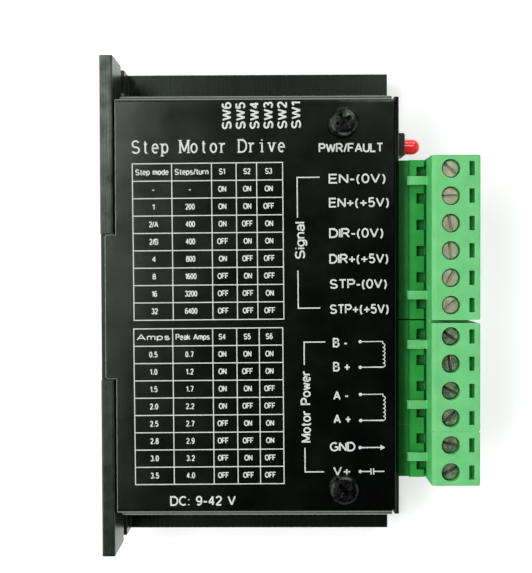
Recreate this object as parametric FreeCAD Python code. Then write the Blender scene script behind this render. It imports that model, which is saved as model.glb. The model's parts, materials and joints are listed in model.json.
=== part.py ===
"""Stepper motor driver module, 96 x 71.6 x 37 mm, in millimetres.

A finned L-shaped aluminium extrusion carries a circuit board under a folded sheet cover. The long
leg of the L is the mounting face, with an open screw slot at each end. Pluggable screw terminals
stand along the opposite side, beside a small indicator lamp, and six option switches look out of
the end wall.

Frame: +X runs from the mounting leg to the plugs, +Y runs along the extrusion towards the option
switches, +Z points out of the printed face. The origin is at the middle of the footprint, on the
plane of the fin tips.
"""

import FreeCAD
import Part

import math
import os

V = FreeCAD.Vector

# ---------------------------------------------------------------- driving dimensions
WIDTH = 71.6  # mounting face to plug fronts
LENGTH = 96.0  # extrusion length
HEIGHT = 37.0  # fin tips to the tops of the plugs
FACE_Z = 32.0  # printed face of the cover, and the free edge of the mounting leg
CLEAR = 0.04  # radial clearance of a screw in its thread

# heatsink extrusion
LEG_X = -WIDTH / 2
LEG_T = 2.5
PLATE_TOP = 10.0
PLATE_T = 3.0
PLATE_X = 21.3  # free edge of the plate
FIN_T = 1.3
FIN_PITCH = 4.45
FIN_COUNT = 12
SLOT_R = 2.3  # half width of the open mounting slots
SLOT_SPACING = 88.0  # between the round ends of the two slots
SLOT_Z = 18.4

# folded cover
SHEET = 1.0
COVER_X0 = LEG_X + LEG_T + 0.45
COVER_X1 = 21.35
COVER_Y = 40.2  # half length
COVER_Z0 = PLATE_TOP + 0.1
BEND_R = 1.3
TAB_Y = 13.8
TAB_X = LEG_X + 0.9

# board, spacers and screws
BOARD_TOP = 20.4
BOARD_T = 1.6
BOARD_X0, BOARD_X1 = -31.6, 20.0
BOARD_Y = 38.4
M3 = 1.5
HEX_AF = 5.0
COVER_FIX = [(10.7, 35.0), (10.7, -35.0)]
LEFT_FIX = [(-27.5, 33.0), (-27.5, -33.0)]

# pluggable terminals: name, number of poles, Y of the first pole, how far its screws are backed out,
# and how far the header and the plug stop short of half a pitch beyond the end poles, at low and high Y
PITCH = 5.08
POLE_TOP_Y = 25.75
POWER_TOP_Y = -5.5
BLOCKS = [
    ("signal", 6, POLE_TOP_Y, 0.5, (-0.42, 0.2), (-0.21, 0.03)),
    ("motor", 4, POWER_TOP_Y, 0.0, (0.02, -0.05), (0.03, 0.03)),
    ("power", 2, POWER_TOP_Y - 4 * PITCH, 0.0, (0.1, 0.02), (0.03, 0.03)),
]
MOUTH_X = 26.55  # front of the board headers
HEADER_L = 12.0
HEADER_H = 8.6
COLLAR_L = 3.05
COLLAR_H = 0.8
PIN = 1.0
PIN_Z = BOARD_TOP + 4.0
PIN_TIP_X = MOUTH_X - 2.4
PLUG_X0 = MOUTH_X + 0.23
PLUG_X1 = WIDTH / 2
PLUG_Z0 = HEIGHT - 15.0
ARM_L = 3.75
KEY_X1 = 33.9
KEY_GAP = 0.05  # between the signal parts and the keys on the ends of the motor parts
SCREW_X = 30.3
HEAD_R = 1.6
HEAD_T = 1.5
WELL_R = 1.78
SHANK_R = 1.25
SEAT_Z = 33.9  # under side of a screw head that is driven home
BAR_Z0, BAR_Z1 = 27.6, 28.4  # fixed contact bar inside each clamp cage
# slot direction of each terminal screw, in degrees from +X, from the lamp end down
SLOT_ANGLES = [-42.0, 2.0, 100.0, 97.0, 62.0, 40.0, -36.0, 98.0, -27.0, 44.0, -12.0, 28.0]

# indicator lamp
LAMP_Y, LAMP_Z = 31.15, 23.7
LAMP_R = 1.5
LAMP_TIP_X = 26.25
HOLDER_X1 = 23.1

# option switches
SWITCH_X = -4.7
SWITCH_PITCH = 2.54
SWITCHES = 6
SWITCH_TRAVEL = 1.8
SWITCH_Y1 = 39.0

# driver chip, lying on the plate under the board
CHIP_X0, CHIP_X1 = -29.5, -14.0
CHIP_Y = 18.0
CHIP_H = 4.5
PAD_T = 0.3
CHIP_LEADS = 25
LEAD_PITCH = 1.27


# ---------------------------------------------------------------- helpers
def block(x, y, z):
    """Box from three (low, high) pairs."""
    return Part.makeBox(x[1] - x[0], y[1] - y[0], z[1] - z[0], V(x[0], y[0], z[0]))


def span(centre, half):
    """(low, high) about a centre."""
    return centre - half, centre + half


def rod(radius, x, y, z):
    """Upright cylinder at x, y between two heights."""
    return Part.makeCylinder(radius, z[1] - z[0], V(x, y, z[0]))


def rod_x(radius, x, y, z):
    """Cylinder along X between two x values."""
    return Part.makeCylinder(radius, x[1] - x[0], V(x[0], y, z), V(1, 0, 0))


def extrude_y(points, y):
    """Prism along Y from a closed outline of (x, z) points."""
    corners = [V(px, y[0], pz) for px, pz in points]
    face = Part.Face(Part.makePolygon(corners + [corners[0]]))
    return face.extrude(V(0, y[1] - y[0], 0))


def hexagon(across, x, y, z):
    """Upright hexagonal prism."""
    r = across / math.sqrt(3)
    turns = [math.radians(a) for a in range(0, 360, 60)]
    corners = [V(x + r * math.cos(t), y + r * math.sin(t), z[0]) for t in turns]
    return Part.Face(Part.makePolygon(corners + [corners[0]])).extrude(V(0, 0, z[1] - z[0]))


def fuse(shapes):
    """One clean solid from touching or overlapping shapes."""
    return shapes[0].multiFuse(shapes[1:]).removeSplitter() if len(shapes) > 1 else shapes[0]


def cut(shape, tools):
    """Shape minus every tool."""
    return shape.cut(Part.makeCompound(tools)).removeSplitter()


def edges_where(shape, test):
    """Edges whose midpoint and direction pass a test."""
    found = []
    for edge in shape.Edges:
        middle = edge.valueAt((edge.FirstParameter + edge.LastParameter) / 2)
        if test(edge, middle):
            found.append(edge)
    return found


def straight(edge, axis):
    """True for a straight edge along the axis named 0, 1 or 2."""
    if not isinstance(edge.Curve, (Part.Line, Part.LineSegment)):
        return False
    direction = edge.tangentAt(edge.FirstParameter)
    return abs(abs(direction[axis]) - 1) < 1e-6


def near(a, b):
    """True within a hundredth of a millimetre."""
    return abs(a - b) < 0.01


def poles():
    """(block name, pole number from 1, Y, screw lift) for all twelve poles, from the lamp end down."""
    rows, number = [], 0
    for name, count, first, lift, _, _ in BLOCKS:
        for k in range(count):
            number += 1
            rows.append((name, number, first - k * PITCH, lift))
    return rows


def block_span(count, first, ends):
    """Y range of a terminal block of that many poles, shortened by the (low, high) pair of ends."""
    return first - (count - 0.5) * PITCH + ends[0], first + PITCH / 2 - ends[1]


# ---------------------------------------------------------------- chassis
def heatsink():
    """L-shaped extrusion: mounting leg, plate and fins, with open slots and tapped holes."""
    z0 = PLATE_TOP - PLATE_T
    half = (-LENGTH / 2, LENGTH / 2)
    outline = [
        (LEG_X, 0),
        (LEG_X + LEG_T, 0),
        (LEG_X + LEG_T, z0),
        (PLATE_X, z0),
        (PLATE_X, PLATE_TOP),
        (LEG_X + LEG_T, PLATE_TOP),
        (LEG_X + LEG_T, FACE_Z),
        (LEG_X, FACE_Z),
    ]
    body = extrude_y(outline, half)
    fins = []
    for k in range(FIN_COUNT):
        x1 = PLATE_X - k * FIN_PITCH
        fin = block((x1 - FIN_T, x1), half, (0, z0 + 0.5))
        tips = edges_where(fin, lambda e, m: straight(e, 1) and near(m.z, 0))
        fins.append(fin.makeFillet(0.4, tips))
    body = fuse([body] + fins)
    outer = edges_where(body, lambda e, m: straight(e, 1) and near(m.x, LEG_X))
    free = edges_where(body, lambda e, m: straight(e, 1) and near(m.x, LEG_X + LEG_T) and near(m.z, FACE_Z))
    body = body.makeFillet(0.35, outer + free)
    across = (LEG_X - 1, LEG_X + LEG_T + 1)
    tools = [block(across, (-TAB_Y - 0.3, TAB_Y + 0.3), (FACE_Z - SHEET, FACE_Z + 1))]
    for side in (-1, 1):
        y_round = side * SLOT_SPACING / 2
        y_open = side * (LENGTH / 2 + 1)
        tools.append(rod_x(SLOT_R, across, y_round, SLOT_Z))
        tools.append(block(across, sorted((y_round, y_open)), span(SLOT_Z, SLOT_R)))
    tapped = COVER_FIX + LEFT_FIX + chip_fixings()
    tools += [rod(M3 + CLEAR / 2, x, y, (z0 - 1, PLATE_TOP + 1)) for x, y in tapped]
    return cut(body, tools)


def cover():
    """Folded sheet cover: printed top, two end walls, the wall beside the terminals and a locating tab."""
    outer = block((COVER_X0, COVER_X1), (-COVER_Y, COVER_Y), (COVER_Z0, FACE_Z))
    folds = edges_where(
        outer,
        lambda e, m: near(m.z, FACE_Z) and not near(m.x, COVER_X0),
    )
    outer = outer.makeFillet(BEND_R, folds)
    inner = block(
        (COVER_X0 - 1, COVER_X1 - SHEET),
        (-COVER_Y + SHEET, COVER_Y - SHEET),
        (COVER_Z0 - 1, FACE_Z - SHEET),
    )
    folds = edges_where(inner, lambda e, m: near(m.z, FACE_Z - SHEET) and m.x > COVER_X0)
    inner = inner.makeFillet(BEND_R - SHEET, folds)
    shell = outer.cut(inner)
    tab = block((TAB_X, COVER_X0 + 1), (-TAB_Y, TAB_Y), (FACE_Z - SHEET, FACE_Z))
    tab = tab.makeFillet(0.6, edges_where(tab, lambda e, m: straight(e, 2) and near(m.x, TAB_X)))
    shell = fuse([shell, tab])

    fold_end = COVER_X1 - BEND_R - 0.15
    full = (COVER_Z0 - 1, FACE_Z + 1)
    tools = []
    for side in (-1, 1):
        def y_from(low):
            return tuple(sorted((side * low, side * (COVER_Y + 1))))

        tools.append(block((fold_end, COVER_X1 + 1), y_from(COVER_Y - 0.3), full))
        tools.append(block((fold_end, fold_end + 0.5), y_from(COVER_Y - SHEET - 0.05), full))
        tools.append(block((COVER_X0 - 1, COVER_X0 + 0.9), y_from(COVER_Y - 0.65), full))
    tools += [rod(M3 + 0.2, x, y, full) for x, y in COVER_FIX]

    wall = (COVER_X1 - SHEET - 1, COVER_X1 + 1)
    low_y = block_span(2, BLOCKS[2][2], (0, 0))[0] - 0.2
    high_y = block_span(6, BLOCKS[0][2], (0, 0))[1] + 0.2
    tools.append(block(wall, (low_y, high_y), (BOARD_TOP - 0.3, BOARD_TOP + HEADER_H + 0.35)))
    tools.append(block(wall, (high_y - 1, LAMP_Y + 2.75), (BOARD_TOP - 0.3, LAMP_Z + 2.8)))
    half_row = SWITCHES * SWITCH_PITCH / 2 + 0.3
    tools.append(
        block(
            span(SWITCH_X, half_row),
            (COVER_Y - SHEET - 1, COVER_Y + 1),
            (BOARD_TOP + 1.2, BOARD_TOP + 6.3),
        )
    )
    return cut(shell, tools)


def pan_screw(x, y, seat, shank_length, head_r, head_h, turn):
    """Pan-head screw with a cross recess. The head sits on the height called seat."""
    points = [
        V(0, 0, seat),
        V(head_r, 0, seat),
        V(head_r, 0, seat + head_h * 0.62),
        V(head_r * 0.95, 0, seat + head_h * 0.78),
        V(head_r * 0.82, 0, seat + head_h * 0.91),
    ]
    crown = Part.Arc(
        points[-1],
        V(head_r * 0.42, 0, seat + head_h * 0.975),
        V(0, 0, seat + head_h),
    ).toShape()
    wire = Part.Wire([Part.LineSegment(a, b).toShape() for a, b in zip(points, points[1:])] + [crown])
    side = Part.LineSegment(V(0, 0, seat + head_h), points[0]).toShape()
    head = Part.Face(Part.Wire(wire.Edges + [side])).revolve(V(0, 0, 0), V(0, 0, 1), 360)
    shank = Part.makeCylinder(M3 - CLEAR / 2, shank_length + 0.2, V(0, 0, seat - shank_length))
    screw = fuse([head, shank])
    arm = head_r * 0.6
    width = head_r * 0.17
    floor = seat + head_h * 0.3
    cross = [
        block((-arm, arm), (-width, width), (floor, seat + 9)),
        block((-width, width), (-arm, arm), (floor, seat + 9)),
        rod(head_r * 0.3, 0, 0, (floor, seat + 9)),
    ]
    screw = cut(screw, [fuse(cross)])
    screw.rotate(V(0, 0, 0), V(0, 0, 1), turn)
    screw.translate(V(x, y, 0))
    return screw


def cover_screws():
    """The two screws that hold the cover."""
    turns = (28.0, 35.0)
    return [pan_screw(x, y, FACE_Z, 6.0, 2.75, 2.1, turn) for (x, y), turn in zip(COVER_FIX, turns)]


def board_spacers():
    """Four hexagonal spacers that stand in the plate and carry the board."""
    found = []
    for x, y in COVER_FIX + LEFT_FIX:
        body = hexagon(HEX_AF, x, y, (PLATE_TOP, BOARD_TOP - BOARD_T))
        stud = rod(M3 - CLEAR / 2, x, y, (PLATE_TOP - PLATE_T + 0.2, PLATE_TOP + 0.5))
        bore = rod(M3 + CLEAR / 2, x, y, (PLATE_TOP + 1.5, BOARD_TOP))
        found.append(cut(fuse([body, stud]), [bore]))
    return found


def cover_spacers():
    """Two hexagonal spacers above the board that take the cover screws."""
    found = []
    for x, y in COVER_FIX:
        body = hexagon(HEX_AF, x, y, (BOARD_TOP, FACE_Z - SHEET))
        stud = rod(M3 - CLEAR / 2, x, y, (BOARD_TOP - 6.0, BOARD_TOP + 0.5))
        bore = rod(M3 + CLEAR / 2, x, y, (BOARD_TOP + 3.0, FACE_Z))
        found.append(cut(fuse([body, stud]), [bore]))
    return found


def chip_fixings():
    """Places of the two screws that clamp the driver chip to the plate."""
    x = (CHIP_X0 + CHIP_X1) / 2
    return [(x, CHIP_Y - 1.6), (x, -CHIP_Y + 1.6)]


def inner_screws():
    """Two screws on the board's mounting side and two on the driver chip."""
    board = [pan_screw(x, y, BOARD_TOP, 5.0, 2.75, 2.0, 15.0) for x, y in LEFT_FIX]
    chip_top = PLATE_TOP + PAD_T + CHIP_H
    chip = [pan_screw(x, y, chip_top, 7.0, 2.75, 2.0, 40.0) for x, y in chip_fixings()]
    return board + chip


# ---------------------------------------------------------------- board and electronics
def chip_lead_places():
    """(x, y) where each lead of the driver chip comes up through the board, in two staggered rows."""
    places = []
    for k in range(CHIP_LEADS):
        y = (k - (CHIP_LEADS - 1) / 2) * LEAD_PITCH
        places.append((CHIP_X1 + (1.8 if k % 2 else 4.3), y))
    return places


def capacitor_places():
    """(x, low y, high y) of the two lying electrolytic capacitors."""
    return [(-26.2, -19.0, -2.0), (-16.4, -19.0, -2.0)]


def capacitor_lead_places():
    """(x, y) of the capacitor leads through the board."""
    return [(x + side * 2.5, high + 1.6) for x, low, high in capacitor_places() for side in (-1, 1)]


def switch_pin_places():
    """(x, y) of the option switch pins through the board."""
    return [(switch_x(k), y) for k in range(1, SWITCHES + 1) for y in (31.6, 36.0)]


def lamp_lead_places():
    """(x, y) of the lamp leads through the board."""
    return [(17.0, LAMP_Y - 1.27), (17.0, LAMP_Y + 1.27)]


def header_pin_x():
    """X of the upright legs of the header pins."""
    return MOUTH_X - HEADER_L + 1.0


def board():
    """Printed circuit board with its mounting, lead and pin holes."""
    slab = block((BOARD_X0, BOARD_X1), (-BOARD_Y, BOARD_Y), (BOARD_TOP - BOARD_T, BOARD_TOP))
    slab = slab.makeFillet(1.0, edges_where(slab, lambda e, m: straight(e, 2)))
    deep = (BOARD_TOP - BOARD_T - 1, BOARD_TOP + 1)
    tools = [rod(M3 + 0.1, x, y, deep) for x, y in COVER_FIX + LEFT_FIX]
    leads = chip_lead_places() + capacitor_lead_places() + switch_pin_places()
    tools += [rod(0.5, x, y, deep) for x, y in leads]
    tools += [rod(0.45, x, y, deep) for x, y in lamp_lead_places()]
    tools += [rod(0.8, header_pin_x(), y, deep) for _, _, y, _ in poles()]
    return cut(slab, tools)


def driver_chip():
    """Power driver chip, flat on its thermal pad, with an open screw notch at each end."""
    z = (PLATE_TOP + PAD_T, PLATE_TOP + PAD_T + CHIP_H)
    body = block((CHIP_X0, CHIP_X1), (-CHIP_Y, CHIP_Y), z)
    body = body.makeChamfer(0.4, edges_where(body, lambda e, m: near(m.z, z[1])))
    tools = []
    for x, y in chip_fixings():
        tools.append(rod(M3 + 0.2, x, y, (z[0] - 1, z[1] + 1)))
        outside = math.copysign(CHIP_Y + 1, y)
        tools.append(block(span(x, M3 + 0.2), tuple(sorted((y, outside))), (z[0] - 1, z[1] + 1)))
    return cut(body, tools)


def driver_chip_leads():
    """Twenty-five leads, out of the chip's side and up through the board."""
    z_lead = PLATE_TOP + PAD_T + 2.2
    leads = []
    for x, y in chip_lead_places():
        flat = block((CHIP_X1, x + 0.25), span(y, 0.3), span(z_lead, 0.25))
        upright = block(span(x, 0.25), span(y, 0.3), (z_lead - 0.25, BOARD_TOP + 0.9))
        leads.append(fuse([flat, upright]))
    return leads


def thermal_pad():
    """Thin pad between the chip and the plate."""
    x = (CHIP_X0 + 0.5, CHIP_X1 - 0.5)
    return block(x, span(0, CHIP_Y - 4.2), (PLATE_TOP, PLATE_TOP + PAD_T))


def bulk_capacitors():
    """Two lying electrolytic capacitors, each with a rolled groove, and their bent leads."""
    radius = 4.8
    found = []
    for x, low, high in capacitor_places():
        z = BOARD_TOP + radius + 0.1
        can = Part.makeCylinder(radius, high - low, V(x, low, z), V(0, 1, 0))
        can = can.makeFillet(0.6, edges_where(can, lambda e, m: near(m.y, low) or near(m.y, high)))
        ring = Part.makeTorus(radius + 0.35, 0.8, V(x, high - 2.2, z), V(0, 1, 0))
        found.append(cut(can, [ring]))
        for side in (-1, 1):
            lead_x = x + side * 2.5
            flat = Part.makeCylinder(0.3, 1.9, V(lead_x, high, z), V(0, 1, 0))
            down = rod(0.3, lead_x, high + 1.6, (BOARD_TOP - BOARD_T - 0.8, z + 0.3))
            found.append(fuse([flat, down]))
    return found


def gull_wing(x, y, size, pins, pitch):
    """Small surface-mount chip: chamfered body and a row of bent leads on each long side."""
    length_x, length_y, height = size
    z0 = BOARD_TOP + 0.15
    body = block(span(x, length_x / 2), span(y, length_y / 2), (z0, z0 + height))
    body = body.makeChamfer(0.25, edges_where(body, lambda e, m: near(m.z, z0 + height)))
    pieces = [body]
    for side in (-1, 1):
        for k in range(pins):
            pin_y = y + (k - (pins - 1) / 2) * pitch
            root = x + side * length_x / 2
            reaches = [
                (0.0, 0.5, z0 + 0.5, z0 + 0.75),
                (0.3, 0.55, BOARD_TOP, z0 + 0.75),
                (0.3, 1.1, BOARD_TOP, BOARD_TOP + 0.25),
            ]
            bends = [
                block(sorted((root + side * near_x, root + side * far_x)), span(pin_y, 0.22), (low, high))
                for near_x, far_x, low, high in reaches
            ]
            pieces.append(fuse(bends))
    return pieces


def small_chips():
    """Three isolating couplers behind the signal terminals and one logic chip."""
    found = []
    for y in (22.0, 11.0, 0.0):
        found += gull_wing(7.6, y, (6.4, 9.4, 3.3), 4, 2.54)
    found += gull_wing(-3.0, 12.0, (3.9, 9.9, 1.5), 8, 1.27)
    return found


def voltage_regulator():
    """Surface-mount regulator: body, heat tab and two leads."""
    z = (BOARD_TOP + 0.1, BOARD_TOP + 2.4)
    body = block((-6.3, 0.0), (-15.0, -8.4), z)
    body = body.makeChamfer(0.3, edges_where(body, lambda e, m: near(m.z, z[1])))
    tab = block((-8.9, -6.3), (-14.4, -9.0), (BOARD_TOP, BOARD_TOP + 0.5))
    leads = [block((0.0, 2.6), span(y, 0.4), (BOARD_TOP, BOARD_TOP + 0.5)) for y in (-14.0, -9.4)]
    return [body, tab] + leads


def sense_resistors():
    """Two current-sensing resistors near the motor terminals."""
    return [block((1.5, 7.9), span(y, 1.6), (BOARD_TOP, BOARD_TOP + 0.7)) for y in (-21.0, -26.0)]


def small_components():
    """Small chip resistors and capacitors in rows on the board."""
    found = []
    for row, x in enumerate((-9.4, -6.9)):
        for k in range(7):
            height = 0.6 if row else 0.9
            found.append(block(span(x, 1.0), span(-22.0 - 2.3 * k, 0.62), (BOARD_TOP, BOARD_TOP + height)))
    for k in range(6):
        found.append(block(span(12.6, 0.62), span(24.0 - 4.2 * k, 1.0), (BOARD_TOP, BOARD_TOP + 0.6)))
    return found


# ---------------------------------------------------------------- indicator lamp
def lamp_holder():
    """Right-angle holder that carries the lamp through the cover's wall."""
    body = block((15.4, HOLDER_X1), (LAMP_Y - 2.0, LAMP_Y + 2.5), (BOARD_TOP, LAMP_Z + 2.4))
    rims = edges_where(body, lambda e, m: near(m.x, HOLDER_X1))
    body = body.makeChamfer(0.25, rims)
    tools = [
        rod_x(LAMP_R + 0.06, (18.0, HOLDER_X1 + 1), LAMP_Y, LAMP_Z),
        rod_x(LAMP_R + 0.36, (15.0, 19.5), LAMP_Y, LAMP_Z),
        block((15.0, 18.5), span(LAMP_Y, 1.66), (BOARD_TOP - 1, LAMP_Z)),
    ]
    return cut(body, tools)


def lamp():
    """3 mm indicator lamp: flange, barrel and dome."""
    barrel = rod_x(LAMP_R, (19.0, LAMP_TIP_X - LAMP_R), LAMP_Y, LAMP_Z)
    dome = Part.makeSphere(LAMP_R, V(LAMP_TIP_X - LAMP_R, LAMP_Y, LAMP_Z))
    flange = rod_x(LAMP_R + 0.3, (18.5, 19.4), LAMP_Y, LAMP_Z)
    return fuse([barrel, dome, flange])


def lamp_leads():
    """Two square leads, back from the lamp and down through the board."""
    found = []
    for x, y in lamp_lead_places():
        flat = block((x - 0.22, 18.5), span(y, 0.22), span(LAMP_Z, 0.22))
        down = block(span(x, 0.22), span(y, 0.22), (BOARD_TOP - BOARD_T - 0.9, LAMP_Z + 0.22))
        found.append(fuse([flat, down]))
    return found


# ---------------------------------------------------------------- option switches
def switch_x(number):
    """X of a switch, numbered from the terminal side."""
    return SWITCH_X + ((SWITCHES + 1) / 2 - number) * SWITCH_PITCH


def switch_body():
    """Switch block with one upright slot for each slider."""
    half = SWITCHES * SWITCH_PITCH / 2 + 0.5
    z = (BOARD_TOP + 0.2, BOARD_TOP + 7.2)
    body = block(span(SWITCH_X, half), (30.2, SWITCH_Y1), z)
    body = body.makeChamfer(0.3, edges_where(body, lambda e, m: near(m.y, SWITCH_Y1)))
    slots = [
        block(span(switch_x(k), 0.65), (SWITCH_Y1 - 2.2, SWITCH_Y1 + 1), (BOARD_TOP + 1.9, BOARD_TOP + 5.5))
        for k in range(1, SWITCHES + 1)
    ]
    return cut(body, slots)


def switch_pins():
    """Pins under the switch block, through the board."""
    z = (BOARD_TOP - BOARD_T - 0.8, BOARD_TOP + 0.2)
    return [block(span(x, 0.25), span(y, 0.15), z) for x, y in switch_pin_places()]


def slider(number):
    """One switch slider, at its lower, off position."""
    x = switch_x(number)
    z0 = BOARD_TOP + 1.95
    shoe = block(span(x, 0.58), (SWITCH_Y1 - 2.1, SWITCH_Y1 - 0.4), (z0, z0 + 1.7))
    knob = block(span(x, 0.5), (SWITCH_Y1 - 0.5, SWITCH_Y1 + 0.8), (z0 + 0.3, z0 + 1.4))
    knob = knob.makeChamfer(0.15, edges_where(knob, lambda e, m: near(m.y, SWITCH_Y1 + 0.8)))
    return fuse([shoe, knob])


# ---------------------------------------------------------------- board headers
def header_pin(y):
    """Bent square pin of a board header."""
    x = header_pin_x()
    level = block((x - PIN / 2, PIN_TIP_X), span(y, PIN / 2), span(PIN_Z, PIN / 2))
    tip = edges_where(level, lambda e, m: near(m.x, PIN_TIP_X))
    upright = block(span(x, PIN / 2), span(y, PIN / 2), (BOARD_TOP - BOARD_T - 1.6, PIN_Z + PIN / 2))
    return fuse([level.makeChamfer(0.25, tip), upright])


def header(count, first, ends, key):
    """Board header: a socket open towards the plug, with a raised collar that has a notch at each pole.

    A key of that thickness stands on the lower half of its high Y end.
    """
    x0 = MOUTH_X - HEADER_L
    top = BOARD_TOP + HEADER_H
    y = block_span(count, first, ends)
    outline = [
        (x0, BOARD_TOP),
        (MOUTH_X, BOARD_TOP),
        (MOUTH_X, top),
        (MOUTH_X - COLLAR_L, top),
        (MOUTH_X - COLLAR_L, top - COLLAR_H),
        (x0, top - COLLAR_H),
    ]
    body = extrude_y(outline, y)
    lip = edges_where(body, lambda e, m: straight(e, 1) and near(m.z, top))
    body = body.makeChamfer(0.2, lip)
    if key:
        body = fuse([body, block((x0 + 1, MOUTH_X), (y[1] - 0.5, y[1] + key), (BOARD_TOP, top - 3))])
    inside_z = (BOARD_TOP + 1.0, top - COLLAR_H - 0.8)
    tools = [block((x0 + 3.0, MOUTH_X + 1), (y[0] + 0.8, y[1] - 0.8), inside_z)]
    for k in range(count):
        pole_y = first - k * PITCH
        tools.append(block((MOUTH_X - 1.6, MOUTH_X + 1), span(pole_y, 1.0), (top - 2.5, top + 1)))
        tools.append(header_pin(pole_y))
    return cut(body, tools)


def motor_keys():
    """Thickness of the keys that nearly close the gap to the signal header and to the signal plug."""
    found = []
    for column in (4, 5):
        low = block_span(6, POLE_TOP_Y, BLOCKS[0][column])[0]
        high = block_span(4, POWER_TOP_Y, BLOCKS[1][column])[1]
        found.append(low - high - KEY_GAP)
    return found


# ---------------------------------------------------------------- plugs
def plug_contact(y):
    """One plug contact: a socket for the header pin, a riser and the bar inside the clamp cage."""
    half = 1.15
    sleeve = block((PLUG_X0 - 8.2, PLUG_X0 - 1.5), span(y, 1.3), span(PIN_Z, 1.2))
    hole = block((PLUG_X0 - 9, PLUG_X0 - 2.2), span(y, PIN / 2 + 0.15), span(PIN_Z, PIN / 2 + 0.15))
    strip = block((PLUG_X0 - 1.6, PLUG_X0 + 1.3), span(y, half), span(PIN_Z, 0.4))
    riser = block((PLUG_X0 + 0.6, PLUG_X0 + 1.3), span(y, half), (PIN_Z - 0.4, BAR_Z1))
    bar = block((PLUG_X0 + 0.6, PLUG_X0 + 5.9), span(y, half), (BAR_Z0, BAR_Z1))
    return fuse([sleeve.cut(hole), strip, riser, bar])


def plug_housing(count, first, ends, arms, key):
    """Plug housing: body with screw wells and wire entries, mating nose and latching arms.

    A key of that thickness stands on the lower part of its high Y end.
    """
    y = block_span(count, first, ends)
    body = block((PLUG_X0, PLUG_X1), y, (PLUG_Z0, HEIGHT))
    top_edge = edges_where(body, lambda e, m: straight(e, 1) and near(m.z, HEIGHT) and near(m.x, PLUG_X0))
    body = body.makeChamfer(0.5, 0.75, top_edge)
    front = edges_where(body, lambda e, m: straight(e, 1) and near(m.x, PLUG_X1))
    corners = edges_where(body, lambda e, m: straight(e, 2) and near(m.x, PLUG_X1))
    body = body.makeFillet(0.4, front + corners)
    nose = block(
        (PLUG_X0 - 8.8, PLUG_X0 + 1),
        (y[0] + 1.2, y[1] - 1.2),
        (BOARD_TOP + 1.4, BOARD_TOP + 6.6),
    )
    nose = nose.makeChamfer(0.5, edges_where(nose, lambda e, m: near(m.x, PLUG_X0 - 8.8)))
    arm_z = (BOARD_TOP + HEADER_H + 0.25, BOARD_TOP + HEADER_H + 1.45)
    pieces = [body, nose]
    if key:
        pieces.append(block((PLUG_X0, KEY_X1), (y[1] - 0.5, y[1] + key), (PLUG_Z0 + 0.5, HEIGHT - 3.5)))
    middle = first - (count - 1) * PITCH / 2
    for offset in arms:
        arm = block((PLUG_X0 - ARM_L, PLUG_X0 + 1), span(middle + offset, 0.8), arm_z)
        tip = edges_where(arm, lambda e, m: straight(e, 1) and near(m.x, PLUG_X0 - ARM_L))
        pieces.append(arm.makeChamfer(0.35, tip))
    housing = fuse(pieces)
    tools = []
    for k in range(count):
        pole_y = first - k * PITCH
        tools += pole_cavities(pole_y)
    return cut(housing, tools)


def pole_cavities(y):
    """Everything that is hollow at one pole of a plug."""
    pocket = (SCREW_X - 1.9, SCREW_X + 1.9)
    entry_z = (24.0, BAR_Z0)
    mouth = [(PLUG_X1 - 1.0, 1.75, entry_z), (PLUG_X1 + 0.02, 2.15, (23.3, 28.3))]
    ends = []
    for x, half, z in mouth:
        corners = [V(x, y - half, z[0]), V(x, y + half, z[0]), V(x, y + half, z[1]), V(x, y - half, z[1])]
        ends.append(Part.makePolygon(corners + [corners[0]]))
    return [
        rod(WELL_R, SCREW_X, y, (SEAT_Z - 0.1, HEIGHT + 1)),
        rod(SHANK_R + 0.1, SCREW_X, y, (33.0, SEAT_Z)),
        block(pocket, span(y, 1.95), (23.1, 33.2)),
        block((pocket[1] - 0.5, PLUG_X1 + 1), span(y, 1.75), entry_z),
        Part.makeLoft(ends, True, True),
        block((PLUG_X1 - 2.13, PLUG_X1 - 1.08), span(y, 1.36), (HEIGHT - 2.4, HEIGHT + 1)),
        block((PLUG_X0 - 9, PLUG_X0 - 8), span(y, 0.9), span(PIN_Z, 0.9)),
        block((PLUG_X0 - 8.2, PLUG_X0 - 1.5), span(y, 1.3), span(PIN_Z, 1.2)),
        plug_contact(y),
    ]


def terminal_screw(y, lift, angle):
    """Slotted clamping screw of one pole."""
    seat = SEAT_Z + lift
    head = rod(HEAD_R, 0, 0, (seat, seat + HEAD_T))
    head = head.makeChamfer(0.2, edges_where(head, lambda e, m: near(m.z, seat + HEAD_T)))
    shank = rod(SHANK_R, 0, 0, (seat - 5.4, seat + 0.5))
    shank = shank.makeChamfer(0.3, edges_where(shank, lambda e, m: near(m.z, seat - 5.4)))
    screw = fuse([head, shank])
    groove = block((-HEAD_R - 1, HEAD_R + 1), (-0.32, 0.32), (seat + HEAD_T - 0.8, seat + 3))
    screw = cut(screw, [groove])
    screw.rotate(V(0, 0, 0), V(0, 0, 1), angle)
    screw.translate(V(SCREW_X, y, 0))
    return screw


def clamp_cage(y):
    """Rising clamp cage of one pole, at its lower, open position."""
    x = span(SCREW_X, 1.8)
    body = block(x, span(y, 1.9), (23.4, 30.3))
    body = body.makeFillet(0.3, edges_where(body, lambda e, m: straight(e, 0)))
    opening = block((x[0] - 1, x[1] + 1), span(y, 1.25), (24.2, 28.9))
    thread = rod(SHANK_R + 0.05, SCREW_X, y, (28.0, 31.0))
    return cut(body, [opening, thread])


# ---------------------------------------------------------------- output
def write(name, shape):
    """Writes one node, and stops on a solid that is open or turned inside out."""
    shapes = shape if isinstance(shape, list) else [shape]
    solids = [s for item in shapes for s in item.Solids]
    for solid in solids:
        if not solid.isValid() or not solid.isClosed() or solid.Volume <= 0:
            raise ValueError(f"{name} has a bad solid")
    whole = solids[0] if len(solids) == 1 else Part.makeCompound(solids)
    whole.exportStep(os.path.join("parts", name + ".step"))
    print(f"{name}: {len(solids)} solids, {sum(s.Volume for s in solids):.1f} mm3")


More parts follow.
